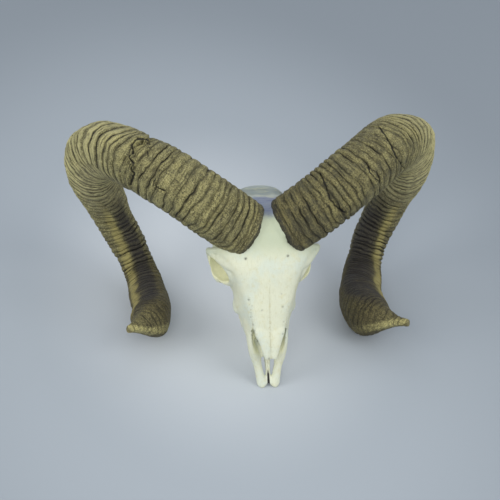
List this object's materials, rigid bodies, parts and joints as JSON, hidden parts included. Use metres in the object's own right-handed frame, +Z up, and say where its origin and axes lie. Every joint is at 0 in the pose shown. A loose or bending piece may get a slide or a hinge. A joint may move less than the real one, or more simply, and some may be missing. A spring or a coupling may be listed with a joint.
{
  "type": "ram skull",
  "caption": "Skull of a wild ram without its lower jaw, with both ridged horns curled out, down and forward; it rests on its nose tip and horn curls.",
  "frame": {"origin": "on the floor, under the centre of the part's bounding box", "axes": "+X across the skull towards the viewer's right, +Y from the nose towards the back of the head, +Z up"},
  "size_m": [0.4254, 0.2458, 0.2523],
  "materials": {
    "bone": "dry, matt, cream-white bone",
    "horn": "ridged, dull olive-brown horn"
  },
  "bodies": {
    "root": {"frontal": "bone", "nasal_left": "bone", "nasal_right": "bone", "maxilla_left": "bone", "maxilla_right": "bone", "premaxilla_left": "bone", "premaxilla_right": "bone", "cheekbone_left": "bone", "cheekbone_right": "bone", "braincase": "bone", "occiput": "bone", "horn_left_base": "horn", "horn_left_shoulder": "horn", "horn_left_bend": "horn", "horn_left_end": "horn", "horn_right_base": "horn", "horn_right_shoulder": "horn", "horn_right_bend": "horn", "horn_right_end": "horn"}
  },
  "joints": []
}
